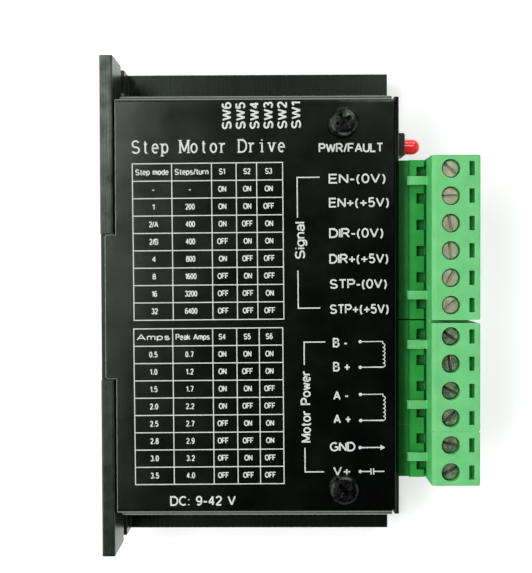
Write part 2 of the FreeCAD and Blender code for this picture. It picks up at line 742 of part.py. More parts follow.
def main():
    os.makedirs("parts", exist_ok=True)
    write("heatsink", heatsink())
    write("cover", cover())
    write("cover_screws", cover_screws())
    write("board_spacers", board_spacers())
    write("cover_spacers", cover_spacers())
    write("inner_screws", inner_screws())
    write("circuit_board", board())
    write("driver_chip", driver_chip())
    write("driver_chip_leads", driver_chip_leads())
    write("thermal_pad", thermal_pad())
    write("bulk_capacitors", bulk_capacitors())
    write("small_chips", small_chips())
    write("voltage_regulator", voltage_regulator())
    write("sense_resistors", sense_resistors())
    write("small_components", small_components())
    write("lamp_holder", lamp_holder())
    write("indicator_lamp", lamp())
    write("lamp_leads", lamp_leads())
    write("switch_body", switch_body())
    write("switch_pins", switch_pins())
    for number in range(1, SWITCHES + 1):
        write(f"switch_slider_{number}", slider(number))

    arms = {"signal": (-11.0, 11.0), "motor": (-5.95, 5.65), "power": (-0.8,)}
    keys = {"signal": (0, 0), "motor": motor_keys(), "power": (0, 0)}
    for name, count, first, _, header_ends, plug_ends in BLOCKS:
        header_key, plug_key = keys[name]
        write(f"{name}_header", header(count, first, header_ends, header_key))
        write(f"{name}_plug_housing", plug_housing(count, first, plug_ends, arms[name], plug_key))
        write(f"{name}_plug_contacts", [plug_contact(first - k * PITCH) for k in range(count)])
    write("header_pins", [header_pin(y) for _, _, y, _ in poles()])
    for (_, number, y, lift), angle in zip(poles(), SLOT_ANGLES):
        write(f"terminal_screw_{number}", terminal_screw(y, lift, angle))
        write(f"clamp_cage_{number}", clamp_cage(y))


main()
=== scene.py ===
"""Looks of the stepper motor driver module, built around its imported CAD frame. Lengths in metres."""

import json
import math

import bmesh
import bpy
from mathutils import Euler, Matrix, Vector


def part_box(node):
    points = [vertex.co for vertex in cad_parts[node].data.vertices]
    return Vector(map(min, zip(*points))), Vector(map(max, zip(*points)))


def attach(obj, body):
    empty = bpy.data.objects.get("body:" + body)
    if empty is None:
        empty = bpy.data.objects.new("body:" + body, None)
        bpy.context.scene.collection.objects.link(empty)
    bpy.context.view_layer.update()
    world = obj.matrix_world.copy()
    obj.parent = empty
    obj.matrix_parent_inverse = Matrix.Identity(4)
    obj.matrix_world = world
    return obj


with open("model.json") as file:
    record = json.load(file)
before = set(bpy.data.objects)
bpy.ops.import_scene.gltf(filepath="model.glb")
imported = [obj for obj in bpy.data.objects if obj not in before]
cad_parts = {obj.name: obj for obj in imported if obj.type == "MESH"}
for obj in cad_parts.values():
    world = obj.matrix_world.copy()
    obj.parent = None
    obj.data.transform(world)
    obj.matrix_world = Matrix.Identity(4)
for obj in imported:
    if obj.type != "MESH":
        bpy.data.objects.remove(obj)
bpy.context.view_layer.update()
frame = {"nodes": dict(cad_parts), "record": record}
nodes = frame["nodes"]
scene = bpy.context.scene

MM = 0.001
FACE_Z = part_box("cover")[1].z  # printed face of the cover
INK = 0.02 * MM  # height of the printing above the face
PRINT_TURN = math.radians(0.35)  # the printing sits slightly askew on the cover


# ---------------------------------------------------------------- node materials
class Shader:
    """Small helper around one material's node tree."""

    def __init__(self, name):
        self.material = bpy.data.materials.new(name)
        self.material.use_nodes = True
        self.nodes = self.material.node_tree.nodes
        self.links = self.material.node_tree.links
        self.bsdf = self.nodes["Principled BSDF"]
        self.coordinates = self.node("ShaderNodeTexCoord").outputs["Object"]

    def node(self, kind, **sockets):
        made = self.nodes.new(kind)
        for key, value in sockets.items():
            made.inputs[key.replace("_", " ")].default_value = value
        return made

    def set(self, **sockets):
        for key, value in sockets.items():
            socket = self.bsdf.inputs[key.replace("_", " ")]
            if hasattr(value, "is_linked"):
                self.links.new(value, socket)
            else:
                colour = isinstance(value, tuple) and len(value) == 3
                socket.default_value = (*value, 1.0) if colour else value

    def stretched(self, scale):
        """Object coordinates scaled by a triple."""
        mapping = self.node("ShaderNodeMapping")
        mapping.inputs["Scale"].default_value = scale
        self.links.new(self.coordinates, mapping.inputs["Vector"])
        return mapping.outputs["Vector"]

    def noise(self, size, detail=3.0, rough=0.55, stretch=None):
        """Noise with features of about the given size in metres."""
        made = self.node("ShaderNodeTexNoise", Scale=1.0 / size, Detail=detail, Roughness=rough)
        source = self.stretched(stretch) if stretch else self.coordinates
        self.links.new(source, made.inputs["Vector"])
        return made.outputs["Fac"]

    def axis(self, name):
        """One coordinate, in metres."""
        split = self.nodes.new("ShaderNodeSeparateXYZ")
        self.links.new(self.coordinates, split.inputs["Vector"])
        return split.outputs[name]

    def spots(self, size):
        """Distance to the middle of the nearest of scattered cells of about the given size."""
        made = self.node("ShaderNodeTexVoronoi", Scale=1.0 / size)
        self.links.new(self.coordinates, made.inputs["Vector"])
        return made.outputs["Distance"]

    def remap(self, source, low, high, to_low=0.0, to_high=1.0):
        """Linear ramp, held at its ends."""
        made = self.nodes.new("ShaderNodeMapRange")
        for socket, value in zip(("From Min", "From Max", "To Min", "To Max"), (low, high, to_low, to_high)):
            made.inputs[socket].default_value = value
        self.links.new(source, made.inputs["Value"])
        return made.outputs["Result"]

    def mix(self, factor, first, second):
        """Colour mix: first where the factor is 0, second where it is 1."""
        made = self.nodes.new("ShaderNodeMix")
        made.data_type = "RGBA"
        self.links.new(factor, made.inputs["Factor"])
        for socket, value in ((made.inputs[6], first), (made.inputs[7], second)):
            if hasattr(value, "is_linked"):
                self.links.new(value, socket)
            else:
                socket.default_value = (*value, 1.0)
        return made.outputs[2]

    def math(self, operation, a, b):
        made = self.nodes.new("ShaderNodeMath")
        made.operation = operation
        for socket, value in zip(made.inputs, (a, b)):
            if hasattr(value, "is_linked"):
                self.links.new(value, socket)
            else:
                socket.default_value = value
        return made.outputs[0]

    def rounded(self, radius):
        """Surface normal with every edge rounded by the radius."""
        made = self.node("ShaderNodeBevel", Radius=radius)
        made.samples = 6
        return made.outputs["Normal"]

    def edges(self, radius, low=0.02, high=0.25):
        """Mask that is 1 on edges and 0 on open surface."""
        dot = self.nodes.new("ShaderNodeVectorMath")
        dot.operation = "DOT_PRODUCT"
        self.links.new(self.rounded(radius), dot.inputs[0])
        self.links.new(self.node("ShaderNodeNewGeometry").outputs["Normal"], dot.inputs[1])
        return self.remap(self.math("SUBTRACT", 1.0, dot.outputs["Value"]), low, high)

    def bump(self, height, strength, distance, normal=None):
        made = self.node("ShaderNodeBump", Strength=strength, Distance=distance)
        self.links.new(height, made.inputs["Height"])
        if normal is not None:
            self.links.new(normal, made.inputs["Normal"])
        self.links.new(made.outputs["Normal"], self.bsdf.inputs["Normal"])


def anodised():
    """Black anodised extrusion: faint drawing lines, edges paler from wear and a painted highlight, and a
    painted sheen on top of the leg, brighter towards its upper end and blotched like handling wear.
    """
    s = Shader("black_anodised")
    streaks = s.noise(0.4 * MM, 4.0, 0.6, stretch=(1.0, 0.02, 1.0))
    clouds = s.noise(9 * MM, 3.0)
    base = s.mix(s.remap(clouds, 0.35, 0.7), (0.0024, 0.0040, 0.0030), (0.005, 0.008, 0.006))
    # painted sheen: the leg's top face is drawn lighter towards its upper end, where the light reflects, in
    # blotches like handling wear
    sheen_towards_end = s.remap(s.axis("Y"), 8 * MM, 44 * MM, 0.25, 1.0)
    leg_top = s.math("MULTIPLY", s.remap(s.axis("Z"), 31.6 * MM, 31.9 * MM), sheen_towards_end)
    rubbed_and_highlight = s.math("MULTIPLY", leg_top, s.remap(s.noise(2.5 * MM, 4.0), 0.3, 0.62))
    base = s.mix(rubbed_and_highlight, base, (0.074, 0.086, 0.076))
    # edges drawn paler: wear and a painted highlight
    worn_edges_and_highlight = s.math("MULTIPLY", s.edges(0.22 * MM), s.remap(s.noise(1.6 * MM), 0.35, 0.65))
    s.set(Base_Color=s.mix(worn_edges_and_highlight, base, (0.11, 0.12, 0.12)), Metallic=0.2)
    s.set(Specular_IOR_Level=0.5, Specular_Tint=(0.84, 1.0, 0.84))
    s.set(Roughness=s.remap(streaks, 0.3, 0.7, 0.26, 0.29))
    s.bump(streaks, 0.03, 0.02 * MM, s.rounded(0.18 * MM))
    return s.material


def powder_coat():
    """Black powder coat with a fine pebble texture.

    Its cut edges beside the mounting leg carry a painted highlight, and it is dull on the plug side.
    """
    s = Shader("black_paint")
    pebble = s.noise(0.32 * MM, 2.0, 0.5)
    clouds = s.noise(7 * MM, 4.0)
    specks = s.remap(s.spots(2.1 * MM), 0.0, 0.045, 1.0, 0.0)
    base = s.mix(s.remap(clouds, 0.3, 0.7), (0.0004, 0.0006, 0.0005), (0.0009, 0.0013, 0.0010))
    base = s.mix(s.math("MULTIPLY", specks, 0.3), base, (0.02, 0.025, 0.022))
    # painted highlight along the cut edges on the mounting leg's side, where the light falls; none on the
    # plug side
    leg_side = s.remap(s.axis("X"), -31.2 * MM, -32.6 * MM)
    worn_edges_and_highlight = s.math("MULTIPLY", s.edges(0.24 * MM, 0.01, 0.2), leg_side)
    base = s.mix(worn_edges_and_highlight, base, (0.42, 0.48, 0.47))
    plug_side = s.remap(s.axis("X"), 20.1 * MM, 20.8 * MM, 0.9, 0.05)
    s.set(Base_Color=base, Specular_IOR_Level=plug_side, Specular_Tint=(0.85, 1.0, 0.82))
    s.set(Roughness=s.remap(clouds, 0.3, 0.7, 0.17, 0.22))
    s.bump(pebble, 0.12, 0.03 * MM, s.rounded(0.14 * MM))
    return s.material


def moulding(name, dark, light, rough=0.34, edge=None, highlight_strength=0.5, gloss=0.5, painted_shade=None, shade_colours=None):
    """Moulded plastic: faint flow clouds, fine skin texture, painted highlights on its edges.

    Painted shade darkens the header beside the cover. A plug's walls and its lower part get painted shade
    colours.
    """
    s = Shader(name)
    clouds = s.noise(4 * MM, 3.0)
    base = s.mix(s.remap(clouds, 0.3, 0.7), dark, light)
    # painted shade: a plug's walls below its top get a deeper green, and its lower part, seen in the
    # header's notches, a dark green
    if shade_colours:
        wall, lower = shade_colours
        beyond_arms = s.remap(s.axis("X"), 26.3 * MM, 26.7 * MM)
        shaded_walls = s.math("MULTIPLY", s.remap(s.axis("Z"), 35.2 * MM, 36.7 * MM, 1.0, 0.0), beyond_arms)
        base = s.mix(shaded_walls, base, wall)
        base = s.mix(s.remap(s.axis("Z"), 29.1 * MM, 30.2 * MM, 1.0, 0.0), base, lower)
    # painted shade: the header is darkened beside the cover, where the cover's shadow falls
    if painted_shade:
        base = s.mix(s.remap(s.axis("X"), 22.7 * MM, 23.9 * MM, 0.85, 0.0), base, painted_shade)
    # painted highlight: edges drawn lighter
    if edge:
        base = s.mix(s.math("MULTIPLY", s.edges(0.16 * MM, 0.03, 0.3), highlight_strength), base, edge)
    s.set(Base_Color=base, Specular_IOR_Level=gloss)
    s.set(Roughness=s.remap(s.noise(1.1 * MM), 0.3, 0.7, rough - 0.05, rough + 0.07))
    s.bump(s.noise(0.25 * MM), 0.12, 0.015 * MM, s.rounded(0.12 * MM))
    return s.material


def metal(name, dark, light, rough=0.3, edge=0.08, shine=1.0, grain=0.3, rubbed_and_highlight=None, slot=None):
    """Plated metal with stains and tool marks. Less shine is duller, oxidised plating.

    Edges can get a painted highlight that looks like rubbed plating, and a screw's slot gets painted shade
    below the given height in millimetres.
    """
    s = Shader(name)
    marks = s.noise(0.5 * MM, 4.0, 0.65)
    stains = s.noise(1.3 * MM, 3.0)
    base = s.mix(s.remap(stains, 0.32, 0.68), dark, light)
    if rubbed_and_highlight:
        # painted highlight on the edges
        base = s.mix(s.edges(0.1 * MM, 0.03, 0.3), base, rubbed_and_highlight)
    if slot:
        # painted shade inside the slot
        slot_shade = s.remap(s.axis("Z"), (slot - 0.25) * MM, slot * MM, 0.6, 0.0)
        base = s.mix(slot_shade, base, (0.012, 0.018, 0.012))
    s.set(Base_Color=base, Metallic=shine)
    s.set(Roughness=s.remap(marks, 0.3, 0.7, rough - 0.08, rough + 0.14))
    s.bump(marks, grain, 0.02 * MM, s.rounded(edge * MM))
    return s.material


def lens():
    """Red tinted epoxy of the lamp, slightly cloudy, with a gloss skin."""
    s = Shader("red_lens")
    clouds = s.noise(1.2 * MM, 2.0)
    s.set(Base_Color=s.mix(s.remap(clouds, 0.3, 0.7), (0.66, 0.010, 0.02), (0.82, 0.022, 0.036)))
    s.set(Roughness=0.16, Coat_Weight=0.15, Coat_Roughness=0.1)
    s.set(Subsurface_Weight=0.35, Subsurface_Scale=0.001)
    # a faint painted glow: the lamp is not lit, the emission only brightens its red
    s.set(Emission_Color=(0.9, 0.02, 0.035), Emission_Strength=0.3)
    s.bsdf.inputs["Subsurface Radius"].default_value = (1.0, 0.15, 0.1)
    s.bump(clouds, 0.05, 0.02 * MM)
    return s.material


def board_mask():
    """Green solder mask with a hint of the traces under it."""
    s = Shader("green_board")
    cells = s.remap(s.spots(1.6 * MM), 0.28, 0.34)
    s.set(Base_Color=s.mix(cells, (0.010, 0.16, 0.055), (0.022, 0.24, 0.09)), Roughness=0.28)
    s.bump(cells, 0.2, 0.02 * MM, s.rounded(0.1 * MM))
    return s.material


def ink():
    """White screen-printing ink, a little uneven."""
    s = Shader("white_ink")
    cover = s.noise(0.5 * MM, 3.0)
    s.set(Base_Color=s.mix(s.remap(cover, 0.3, 0.7), (0.52, 0.54, 0.52), (0.68, 0.69, 0.68)), Roughness=0.55)
    s.bump(cover, 0.1, 0.01 * MM)
    return s.material


SIGNAL_POLES = 6  # the terminal screws after these, on the motor and power plugs, get a darker, greener copy of the zinc: painted shade and painted green reflection
SLOT_TOP = 35.3  # height, in millimetres, from which the darker screws' slots go down; painted shade darkens them below it
materials = {
    "black_anodised": anodised(),
    "black_paint": powder_coat(),
    # the pale rims are a painted highlight on the screw heads
    "dark_steel": metal(
        "dark_steel", (0.018, 0.020, 0.018), (0.045, 0.048, 0.045), 0.24, edge=0.04, grain=0.1,
        rubbed_and_highlight=(0.20, 0.21, 0.20)
    ),
    "bright_steel": metal("bright_steel", (0.42, 0.42, 0.41), (0.60, 0.60, 0.58)),
    # the bright edges are painted glints
    "zinc_steel": metal(
        "zinc_steel", (0.43, 0.39, 0.27), (0.66, 0.61, 0.46), 0.38, edge=0.05, shine=0.3,
        rubbed_and_highlight=(0.80, 0.76, 0.66)
    ),
    "cage_metal": metal("cage_metal", (0.48, 0.47, 0.44), (0.64, 0.63, 0.60)),
    "brass": metal("brass", (0.55, 0.42, 0.18), (0.75, 0.60, 0.30)),
    "tin": metal("tin", (0.60, 0.60, 0.60), (0.76, 0.76, 0.75), 0.26),
    "contact_metal": metal("contact_metal", (0.58, 0.52, 0.38), (0.72, 0.68, 0.55)),
    "green_board": board_mask(),
    "black_epoxy": moulding("black_epoxy", (0.010, 0.010, 0.011), (0.022, 0.022, 0.024), 0.5),
    "black_ceramic": moulding("black_ceramic", (0.012, 0.012, 0.012), (0.03, 0.03, 0.03), 0.4),
    "ceramic": moulding("ceramic", (0.30, 0.22, 0.14), (0.44, 0.34, 0.22), 0.4),
    "grey_pad": moulding("grey_pad", (0.26, 0.28, 0.31), (0.34, 0.36, 0.40), 0.75),
    "capacitor_sleeve": moulding("capacitor_sleeve", (0.008, 0.008, 0.014), (0.02, 0.02, 0.03), 0.25),
    "black_nylon": moulding("black_nylon", (0.003, 0.0045, 0.003), (0.008, 0.010, 0.007), 0.4),
    "red_lens": lens(),
    "blue_plastic": moulding("blue_plastic", (0.015, 0.06, 0.30), (0.025, 0.09, 0.40), 0.4),
    "white_plastic": moulding("white_plastic", (0.70, 0.70, 0.66), (0.82, 0.82, 0.79), 0.4),
    # painted highlight on the edges, painted shade on the plugs' walls and lower part
    "green_plastic": moulding(
        "green_plastic", (0.122, 0.49, 0.165), (0.160, 0.57, 0.205), 0.42, edge=(0.55, 1.0, 0.66), highlight_strength=0.9,
        gloss=0.25, shade_colours=((0.088, 0.62, 0.16), (0.026, 0.26, 0.046))
    ),
}
# painted shade: a darker copy of the plugs' green for the headers, which lie in the cover's shade, with
# painted highlights on edges and painted shade beside the cover
header_green = moulding(
    "header_green", (0.020, 0.30, 0.046), (0.032, 0.39, 0.064), 0.42, edge=(0.10, 0.52, 0.16), highlight_strength=0.4,
    gloss=0.25, painted_shade=(0.003, 0.06, 0.008)
)
# painted shade and painted reflection: a darker, greener copy of the zinc plating for the lower screws, with
# painted highlights on its edges and painted shade in its slots
shaded_zinc = metal(
    "shaded_zinc", (0.13, 0.20, 0.12), (0.66, 0.64, 0.52), 0.24, edge=0.05, shine=0.45,
    rubbed_and_highlight=(0.78, 0.84, 0.72), slot=SLOT_TOP
)
white_ink = ink()

for part in frame["record"]["subparts"]:
    name = part["node"]
    chosen = materials[part["material_slot"]]
    if name.endswith("_header"):
        chosen = header_green
    if name.startswith("terminal_screw_") and int(name.split("_")[-1]) > SIGNAL_POLES:
        chosen = shaded_zinc
    slots = nodes[name].data.materials
    slots.clear()
    slots.append(chosen)


# ---------------------------------------------------------------- lettering
def arc(x, y, across, up, start, end):
    """Points of an ellipse's arc, angles in degrees."""
    steps = max(3, round(abs(end - start) / 24))
    turns = [math.radians(start + (end - start) * k / steps) for k in range(steps + 1)]
    return [(x + across * math.cos(t), y + up * math.sin(t)) for t in turns]


# Centre lines of each letter's strokes, for a capital height of 1. A stroke that ends where it
# starts is closed.
P_STROKES = [[(0, 0), (0, 1), (0.34, 1)] + arc(0.34, 0.74, 0.25, 0.26, 90, -90) + [(0, 0.48)]]
LETTERS = {
    " ": [],
    "A": [[(0, 0), (0.36, 1), (0.72, 0)], [(0.13, 0.32), (0.59, 0.32)]],
    "B": [
        [(0, 0.53), (0.34, 0.53)] + arc(0.34, 0.765, 0.22, 0.235, -90, 90) + [(0, 1), (0, 0), (0.36, 0)]
        + arc(0.36, 0.265, 0.26, 0.265, -90, 90)
    ],
    "C": [arc(0.37, 0.5, 0.37, 0.5, 50, 310)],
    "D": [[(0, 0), (0, 1), (0.28, 1)] + arc(0.28, 0.5, 0.38, 0.5, 90, -90) + [(0, 0)]],
    "E": [[(0.58, 1), (0, 1), (0, 0), (0.6, 0)], [(0, 0.52), (0.52, 0.52)]],
    "F": [[(0.56, 1), (0, 1), (0, 0)], [(0, 0.5), (0.48, 0.5)]],
    "G": [arc(0.38, 0.5, 0.38, 0.5, 50, 310) + [(0.72, 0.16), (0.72, 0.47), (0.42, 0.47)]],
    "I": [[(0, 0), (0, 1)]],
    "L": [[(0, 1), (0, 0), (0.5, 0)]],
    "M": [[(0, 0), (0, 1), (0.36, 0.1), (0.72, 1), (0.72, 0)]],
    "N": [[(0, 0), (0, 1), (0.62, 0), (0.62, 1)]],
    "O": [arc(0.38, 0.5, 0.38, 0.5, 90, 450)],
    "P": P_STROKES,
    "R": P_STROKES + [[(0.32, 0.48), (0.62, 0)]],
    "S": [arc(0.31, 0.74, 0.28, 0.26, 25, 270) + arc(0.31, 0.24, 0.31, 0.24, 90, -155)[1:]],
    "T": [[(0, 1), (0.6, 1)], [(0.3, 1), (0.3, 0)]],
    "U": [[(0, 1), (0, 0.3)] + arc(0.3, 0.3, 0.3, 0.3, 180, 360)[1:] + [(0.6, 1)]],
    "V": [[(0, 1), (0.33, 0), (0.66, 1)]],
    "W": [[(0, 1), (0.23, 0), (0.46, 0.95), (0.69, 0), (0.92, 1)]],
    "a": [arc(0.23, 0.5, 0.22, 0.22, 160, 0) + [(0.45, 0)], arc(0.23, 0.2, 0.22, 0.2, 90, 450)],
    "d": [arc(0.24, 0.36, 0.24, 0.36, 90, 450), [(0.48, 1), (0.48, 0)]],
    "e": [[(0, 0.38), (0.48, 0.38)] + arc(0.24, 0.36, 0.24, 0.36, 4, 310)],
    "g": [
        arc(0.24, 0.36, 0.24, 0.36, 90, 450),
        [(0.48, 0.72), (0.48, -0.05)] + arc(0.24, -0.05, 0.24, 0.22, 0, -150)[1:],
    ],
    "i": [[(0, 0), (0, 0.72)], [(0, 0.92), (0, 1.02)]],
    "k": [[(0, 0), (0, 1)], [(0.42, 0.72), (0.02, 0.3)], [(0.15, 0.43), (0.45, 0)]],
    "l": [[(0, 0), (0, 1)]],
    "m": [
        [(0, 0), (0, 0.72)],
        arc(0.17, 0.5, 0.17, 0.22, 180, 0) + [(0.34, 0)],
        arc(0.51, 0.5, 0.17, 0.22, 180, 0) + [(0.68, 0)],
    ],
    "n": [[(0, 0), (0, 0.72)], arc(0.21, 0.48, 0.21, 0.24, 180, 0) + [(0.42, 0)]],
    "o": [arc(0.25, 0.36, 0.25, 0.36, 90, 450)],
    "p": [[(0, -0.25), (0, 0.72)], arc(0.24, 0.36, 0.24, 0.36, 90, 450)],
    "r": [[(0, 0), (0, 0.72)], arc(0.24, 0.44, 0.24, 0.26, 180, 70)],
    "s": [arc(0.2, 0.53, 0.18, 0.17, 30, 270) + arc(0.2, 0.18, 0.21, 0.18, 90, -155)[1:]],
    "t": [
        [(0.12, 0.95), (0.12, 0.13)] + arc(0.24, 0.13, 0.12, 0.13, 180, 290)[1:],
        [(0, 0.72), (0.28, 0.72)],
    ],
    "u": [[(0, 0.72), (0, 0.24)] + arc(0.21, 0.24, 0.21, 0.24, 180, 360)[1:], [(0.42, 0.72), (0.42, 0)]],
    "v": [[(0, 0.72), (0.23, 0), (0.46, 0.72)]],
    "w": [[(0, 0.72), (0.16, 0), (0.32, 0.65), (0.48, 0), (0.64, 0.72)]],
    "0": [arc(0.25, 0.5, 0.25, 0.5, 90, 450)],
    "1": [[(0.02, 0.76), (0.26, 1), (0.26, 0)]],
    "2": [arc(0.25, 0.72, 0.24, 0.28, 165, -35) + [(0, 0), (0.5, 0)]],
    "3": [arc(0.24, 0.75, 0.22, 0.25, 155, -90), arc(0.24, 0.26, 0.25, 0.26, 90, -155)],
    "4": [[(0.38, 0), (0.38, 1), (0, 0.3), (0.52, 0.3)]],
    "5": [[(0.46, 1), (0.08, 1), (0.03, 0.5)] + arc(0.25, 0.31, 0.25, 0.31, 130, -150)[1:]],
    "6": [arc(0.25, 0.3, 0.24, 0.3, 90, 450), arc(0.28, 0.5, 0.27, 0.5, 55, 185)],
    "7": [[(0, 1), (0.5, 1), (0.18, 0)]],
    "8": [arc(0.25, 0.76, 0.2, 0.24, 90, 450), arc(0.25, 0.26, 0.25, 0.26, 90, 450)],
    "9": [arc(0.25, 0.7, 0.24, 0.3, 90, 450), arc(0.22, 0.5, 0.27, 0.5, -125, 5)],
    "+": [[(0, 0.42), (0.58, 0.42)], [(0.29, 0.08), (0.29, 0.76)]],
    "-": [[(0, 0.38), (0.32, 0.38)]],
    "(": [arc(0.3, 0.4, 0.26, 0.62, 115, 245)],
    ")": [arc(-0.06, 0.4, 0.26, 0.62, 65, -65)],
    "/": [[(0, -0.03), (0.28, 1.03)]],
    ".": [[(0.13, -0.03), (0.13, 0.13)]],
    ":": [[(0.08, 0), (0.08, 0.09)], [(0.08, 0.6), (0.08, 0.69)]],
}
# middles of the serifs on the title's letters
SERIFS = {
    "M": [(0, 0), (0.72, 0), (0, 1), (0.72, 1)],
    "D": [(0, 0), (0, 1)],
    "i": [(0, 0), (-0.08, 0.72)],
    "p": [(0, -0.25), (-0.08, 0.72)],
    "r": [(0, 0), (-0.08, 0.72)],
    "v": [(0, 0.72), (0.46, 0.72)],
}
SERIF_ACROSS = 1.18  # stretch of the title's letters, in cells
SERIF_HALF = 0.14  # half length of a serif
HAIRPIN = -0.25  # cosine of a turn too sharp for a mitred corner
QUARTER = math.pi / 2


def reach(strokes):
    """Width of a letter's cell, with as much room to its right as to its left."""
    xs = [x for stroke in strokes for x, _ in stroke]
    return max(xs) + min(xs) if xs else 0.3


class Print:
    """A flat raised print, collected as closed pieces of one mesh. Positions are in millimetres."""

    def __init__(self, name):
        self.name = name
        self.mesh = bmesh.new()
        self.pieces = 0

    def heights(self):
        """Bottom and top of the next piece. A hair's difference keeps crossing strokes out of one plane."""
        self.pieces += 1
        return -INK, INK * (1 + 0.05 * (self.pieces % 7))

    def ring(self, points, z):
        """Vertices at one height."""
        return [self.mesh.verts.new((x * MM, y * MM, z)) for x, y in points]

    def slab(self, outline):
        """Closed slab from a convex, counter-clockwise outline."""
        bottom, top = self.heights()
        low, high = self.ring(outline, bottom), self.ring(outline, top)
        self.mesh.faces.new(high)
        self.mesh.faces.new(low[::-1])
        for k in range(len(outline)):
            after = (k + 1) % len(outline)
            self.mesh.faces.new((low[k], low[after], high[after], high[k]))

    def line(self, points, width):
        """Ribbons along the points, one from each hairpin turn to the next."""
        path = [Vector(p) for p in points]
        start = 0
        for k in range(1, len(path) - 1):
            before, after = (path[k] - path[k - 1]).normalized(), (path[k + 1] - path[k]).normalized()
            if before.dot(after) < HAIRPIN:
                self.ribbon(path[start : k + 1], width)
                start = k
        self.ribbon(path[start:], width)

    def ribbon(self, path, width):
        """Ribbon with mitred corners. It is closed if it ends where it starts."""
        closed = (path[0] - path[-1]).length < 1e-6
        if closed:
            path.pop()
        count = len(path)
        left, right = [], []
        for k, here in enumerate(path):
            before = here - path[k - 1] if closed or k else path[1] - here
            after = path[(k + 1) % count] - here if closed or k < count - 1 else before
            before, after = before.normalized(), after.normalized()
            side = Vector((-(before + after).y, (before + after).x)).normalized()
            half = width / 2 / max(0.6, side.dot(Vector((-before.y, before.x))))
            left.append(here + side * half)
            right.append(here - side * half)
        bottom, top = self.heights()
        corners = [self.ring(row, z) for row in (right, left) for z in (bottom, top)]
        low_right, high_right, low_left, high_left = corners
        for k in range(count if closed else count - 1):
            n = (k + 1) % count
            self.mesh.faces.new((high_right[k], high_right[n], high_left[n], high_left[k]))
            self.mesh.faces.new((low_left[k], low_left[n], low_right[n], low_right[k]))
            self.mesh.faces.new((low_right[k], low_right[n], high_right[n], high_right[k]))
            self.mesh.faces.new((high_left[k], high_left[n], low_left[n], low_left[k]))
        if not closed:
            self.mesh.faces.new((low_right[0], high_right[0], high_left[0], low_left[0]))
            self.mesh.faces.new((low_left[-1], high_left[-1], high_right[-1], low_right[-1]))

    def dot(self, x, y, radius):
        """Round slab."""
        turns = [2 * math.pi * k / 16 for k in range(16)]
        self.slab([(x + radius * math.cos(t), y + radius * math.sin(t)) for t in turns])

    def grid(self, columns, rows, width):
        """Ruled table: one closed mesh with a window for each cell."""
        half = width / 2
        xs = [x + d for x in columns for d in (-half, half)]
        ys = [y + d for y in sorted(rows) for d in (-half, half)]
        low, high = [[self.ring([(x, y) for x in xs], z) for y in ys] for z in self.heights()]

        def ruled(i, j):
            return 0 <= i < len(xs) - 1 and 0 <= j < len(ys) - 1 and (i % 2 == 0 or j % 2 == 0)

        def wall(first, second):
            (j, i), (n, m) = first, second
            self.mesh.faces.new((low[j][i], low[n][m], high[n][m], high[j][i]))

        for j in range(len(ys)):
            for i in range(len(xs)):
                if ruled(i, j):
                    cell = ((j, i), (j, i + 1), (j + 1, i + 1), (j + 1, i))
                    self.mesh.faces.new([high[r][q] for r, q in cell])
                    self.mesh.faces.new([low[r][q] for r, q in cell[::-1]])
                if i < len(xs) - 1 and ruled(i, j) != ruled(i, j - 1):
                    ends = ((j, i), (j, i + 1))
                    wall(*(ends if ruled(i, j) else ends[::-1]))
                if j < len(ys) - 1 and ruled(i, j) != ruled(i - 1, j):
                    ends = ((j + 1, i), (j, i))
                    wall(*(ends if ruled(i, j) else ends[::-1]))

    def words(self, text, x, y, cap, width, turn=0.0, weight=0.30, space=0.20, serif=0.0):
        """Lettering that starts at x, y, with the height of its capitals, stretched to the width.

        With serifs, every letter stands in the middle of an equal cell.
        """
        cells = [reach(LETTERS[c]) for c in text]
        natural = sum(cells) + space * (len(text) - 1)
        across = SERIF_ACROSS * width / len(text) if serif else (width - weight) / natural
        up = cap - weight
        spin = Matrix.Rotation(turn, 2)
        start = 0.0
        for place, (letter, cell) in enumerate(zip(text, cells)):
            if serif:
                start = (place + 0.5) * width / len(text) / across - cell / 2 - weight / 2 / across
            marks = [(stroke, weight) for stroke in LETTERS[letter]]
            if serif:
                for u, v in SERIFS.get(letter, []):
                    marks.append(([(u - SERIF_HALF, v), (u + SERIF_HALF, v)], serif))
            for stroke, thick in marks:
                flat = [Vector(((start + u) * across + weight / 2, v * up + weight / 2)) for u, v in stroke]
                self.line([tuple(spin @ p + Vector((x, y))) for p in flat], thick)
            start += cell + space

    def finish(self):
        """Lays the print on the cover and makes it ride with the chassis."""
        bmesh.ops.recalc_face_normals(self.mesh, faces=self.mesh.faces)
        data = bpy.data.meshes.new(self.name)
        self.mesh.to_mesh(data)
        self.mesh.free()
        data.transform(Matrix.Translation((0, 0, FACE_Z)) @ Matrix.Rotation(PRINT_TURN, 4, "Z"))
        data.materials.append(white_ink)
        piece = bpy.data.objects.new(self.name, data)
        scene.collection.objects.link(piece)
        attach(piece, "chassis")


# ---------------------------------------------------------------- printing on the cover
ON, OFF = "ON", "OFF"
RULE = 0.18  # width of a table's lines
BASELINE = 0.66  # of a row's height, from its top
HEADING_MARGIN = 1.1  # room left in a value column's heading cell
ENTRY_CAP = 1.16  # height of a table's capitals
ENTRY_WEIGHT = 0.2
ENTRY_STRETCH = 0.78  # width of an entry's letters, for cells of width 1
ENTRY_SPACE = 0.22  # between an entry's letters, in cells
ENTRY_EXTRA = 0.15


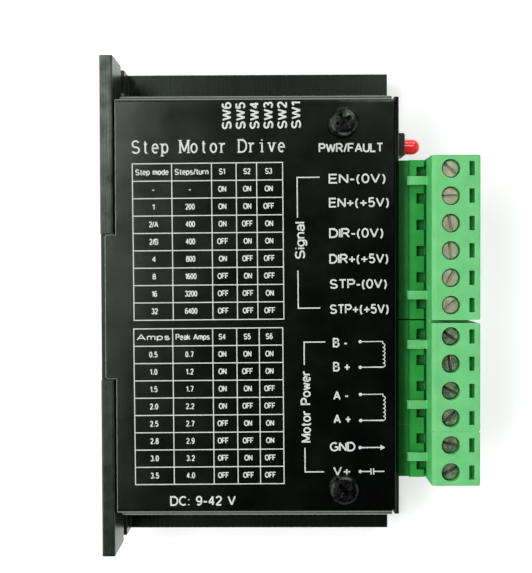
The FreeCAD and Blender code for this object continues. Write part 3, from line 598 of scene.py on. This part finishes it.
def table(name, columns, shifts, top, bottom, heads, rows):
    """Ruled settings table: two value columns and three switch columns.

    A column's entries stand a shift off its middle. The value columns' headings fill their cells.
    """
    sheet = Print(name)
    pitch = (top - bottom) / (len(rows) + 1)
    lines = [top - k * pitch for k in range(len(rows) + 2)]
    sheet.grid(columns, lines, RULE)
    for row, entries in enumerate([heads] + rows):
        base = lines[row] - pitch * BASELINE
        for column, entry in enumerate(entries):
            left, right = columns[column : column + 2]
            middle = (left + right) / 2
            if row == 0 and column < 2:
                width = right - left - HEADING_MARGIN
            else:
                cells = sum(reach(LETTERS[c]) + ENTRY_SPACE for c in entry)
                width = ENTRY_EXTRA + ENTRY_STRETCH * cells
                middle += shifts[column]
            sheet.words(entry, middle - width / 2, base, ENTRY_CAP, width, weight=ENTRY_WEIGHT)
    sheet.finish()


table(
    "print_step_table",
    [-29.4, -21.9, -14.3, -9.6, -5.7, -0.75],
    [0.2, -0.35, -0.35, 0.1, -0.2],
    27.45,
    -2.4,
    ["Step mode", "Steps/turn", "S1", "S2", "S3"],
    [
        ["-", "-", ON, ON, ON],
        ["1", "200", ON, ON, OFF],
        ["2/A", "400", ON, OFF, ON],
        ["2/B", "400", OFF, ON, ON],
        ["4", "800", ON, OFF, OFF],
        ["8", "1600", OFF, ON, OFF],
        ["16", "3200", OFF, OFF, ON],
        ["32", "6400", OFF, OFF, OFF],
    ],
)
table(
    "print_current_table",
    [-29.5, -22.05, -14.4, -9.8, -5.5, -1.0],
    [0, -0.65, -0.5, -0.15, -0.35],
    -4.05,
    -33.95,
    ["Amps", "Peak Amps", "S4", "S5", "S6"],
    [
        ["0.5", "0.7", ON, ON, ON],
        ["1.0", "1.2", ON, OFF, ON],
        ["1.5", "1.7", ON, ON, OFF],
        ["2.0", "2.2", ON, OFF, OFF],
        ["2.5", "2.7", OFF, ON, ON],
        ["2.8", "2.9", OFF, OFF, ON],
        ["3.0", "3.2", OFF, ON, OFF],
        ["3.5", "4.0", OFF, OFF, OFF],
    ],
)

title = Print("print_title")
title.words("Step Motor Drive", -29.6, 29.35, 2.6, 29.6, weight=0.3, serif=0.18)
title.words("DC: 9-42 V", -22.9, -38.1, 1.9, 12.6)
title.finish()

SWITCHES = 6
switches = Print("print_switch_numbers")
for k in range(SWITCHES):
    switches.words(f"SW{SWITCHES - k}", -10.35 + 2.64 * k, 33.8, 1.9, 5.2, turn=QUARTER, weight=0.34)
switches.finish()

pins = Print("print_terminal_names")
CAP = 1.8  # height of the terminal names' capitals
SIGNAL_CAP = 1.86
SIDE_CAP = 1.95
pins.words("PWR/FAULT", 6.15, 29.2, CAP, 12.3)
for text, y, width in (
    ("EN-(0V)", 24.25, 10.9),
    ("EN+(+5V)", 19.7, 11.5),
    ("DIR-(0V)", 13.9, 10.4),
    ("DIR+(+5V)", 9.0, 11.3),
    ("STP-(0V)", 4.2, 11.0),
    ("STP+(+5V)", -0.6, 11.3),
):
    pins.words(text, 8.0, y - SIGNAL_CAP / 2, SIGNAL_CAP, width)
for text, y, width in (("B -", -7.0, 2.85), ("B +", -11.6, 3.3), ("A -", -17.1, 2.95), ("A +", -21.6, 3.4)):
    pins.words(text, 8.55, y - CAP / 2, CAP, width)
pins.words("GND", 7.8, -27.85, CAP, 4.9)
pins.words("V+", 8.4, -32.55, CAP, 3.4)
pins.words("Signal", 3.4, 9.0, SIDE_CAP, 7.1, turn=QUARTER)
pins.words("Motor Power", 4.25, -26.1, SIDE_CAP, 13.8, turn=QUARTER)
pins.finish()

# brackets beside the terminal names, the two motor windings, and the ground and supply symbols
symbols = Print("print_symbols")
THIN = 0.22
DOT = 0.32  # radius
COIL_WIDTH = 0.17
COIL_X = 18.05
COIL_LOOPS = 6
symbols.line([(6.25, 24.55), (2.0, 24.55), (2.0, 16.9)], THIN)
symbols.line([(2.0, 6.85), (2.0, -0.35), (6.2, -0.35)], THIN)
symbols.line([(7.1, -6.85), (3.05, -6.85), (3.05, -11.2)], THIN)
symbols.line([(3.05, -27.1), (3.05, -31.75), (6.7, -31.75)], THIN)
for high, low in ((-6.85, -11.75), (-16.95, -21.95)):
    for y in (high, low):
        symbols.dot(13.75, y, DOT)
    step = (high - low) / (2 * COIL_LOOPS + 1)  # half a loop
    coil = [(COIL_X, high), (COIL_X, high - step)]
    for k in range(COIL_LOOPS):
        middle = high - step * (2 * k + 2)
        coil += arc(COIL_X, middle, 0.42, step, 90, -90)[1:]
    symbols.line([(13.9, high)] + coil + [(COIL_X, low), (13.9, low)], COIL_WIDTH)
symbols.dot(13.6, -27.15, DOT)
symbols.line([(13.7, -27.15), (17.6, -27.15)], THIN)
symbols.slab([(17.5, -27.65), (18.4, -27.15), (17.5, -26.65)])
symbols.dot(13.6, -31.75, DOT)
symbols.line([(13.7, -31.75), (15.65, -31.75)], THIN)
symbols.line([(15.65, -31.15), (15.65, -32.35)], THIN)
symbols.line([(16.15, -31.15), (16.15, -32.35)], THIN)
symbols.line([(16.15, -31.75), (18.2, -31.75)], THIN)
symbols.finish()


# ---------------------------------------------------------------- floor, light and camera
GROUND = 1.6  # half width


def floor():
    """Pale ground under the fins."""
    shader = Shader("pale_ground")
    pale = shader.mix(shader.noise(40 * MM), (0.91, 0.91, 0.91), (0.93, 0.93, 0.93))
    shader.set(Base_Color=pale, Roughness=0.7, Emission_Color=(1.0, 1.0, 1.0), Emission_Strength=0.3)
    data = bpy.data.meshes.new("ground")
    corners = [(x * GROUND, y * GROUND, 0) for x, y in ((-1, -1), (1, -1), (1, 1), (-1, 1))]
    data.from_pydata(corners, [], [(0, 1, 2, 3)])
    data.materials.append(shader.material)
    ground = bpy.data.objects.new("ground", data)
    scene.collection.objects.link(ground)


LIT = Vector((0.0, 0.0, 0.02))  # point that every soft box faces


def lamp(name, place, size, power):
    """Soft box of that width and height."""
    data = bpy.data.lights.new(name, "AREA")
    data.shape = "RECTANGLE"
    data.size, data.size_y = size
    data.energy = power
    light = bpy.data.objects.new(name, data)
    light.location = place
    light.rotation_euler = (LIT - Vector(place)).to_track_quat("-Z", "Y").to_euler()
    scene.collection.objects.link(light)


floor()
lamp("upper_left_box", (-0.235, 0.05, 0.62), (0.46, 0.11), 1.5)
lamp("upper_right_box", (0.17, 0.26, 0.62), (0.12, 0.12), 0.6)
lamp("right_box", (0.66, -0.16, 0.34), (0.60, 0.40), 1.2)
lamp("lower_box", (0.10, -0.62, 0.36), (0.80, 0.30), 2.6)
lamp("back_box", (0.10, 0.64, 0.34), (0.80, 0.30), 3.0)
lamp("left_box", (-0.58, -0.05, 0.36), (0.80, 0.36), 2.7)

# surroundings: dim along the horizon, dark overhead
world = bpy.data.worlds.new("room")
world.use_nodes = True
room = world.node_tree
direction = room.nodes.new("ShaderNodeTexCoord")
split = room.nodes.new("ShaderNodeSeparateXYZ")
fade = room.nodes.new("ShaderNodeMapRange")
for socket, value in (("From Min", 0.08), ("From Max", 0.6), ("To Min", 1.0), ("To Max", 0.0)):
    fade.inputs[socket].default_value = value
room.links.new(direction.outputs["Generated"], split.inputs["Vector"])
room.links.new(split.outputs["Z"], fade.inputs["Value"])
room.links.new(fade.outputs["Result"], room.nodes["Background"].inputs["Strength"])
scene.world = world
scene.view_settings.view_transform = "Standard"

CAMERA_PLACE = (-2.271 * MM, 8.214 * MM, 230.727 * MM)
CAMERA_TURN = (0.0221, -0.0094, 0.0032)  # world to camera, about X, then Y, then Z
FOCAL_HEIGHTS = 1.8176265  # focal length as a share of the picture's height
lens_data = bpy.data.cameras.new("camera")
lens_data.lens = FOCAL_HEIGHTS * lens_data.sensor_width
lens_data.clip_start = 0.01
camera = bpy.data.objects.new("camera", lens_data)
turn = Euler(CAMERA_TURN, "XYZ").to_matrix().transposed().to_4x4()
camera.matrix_world = Matrix.Translation(CAMERA_PLACE) @ turn
scene.collection.objects.link(camera)
scene.camera = camera
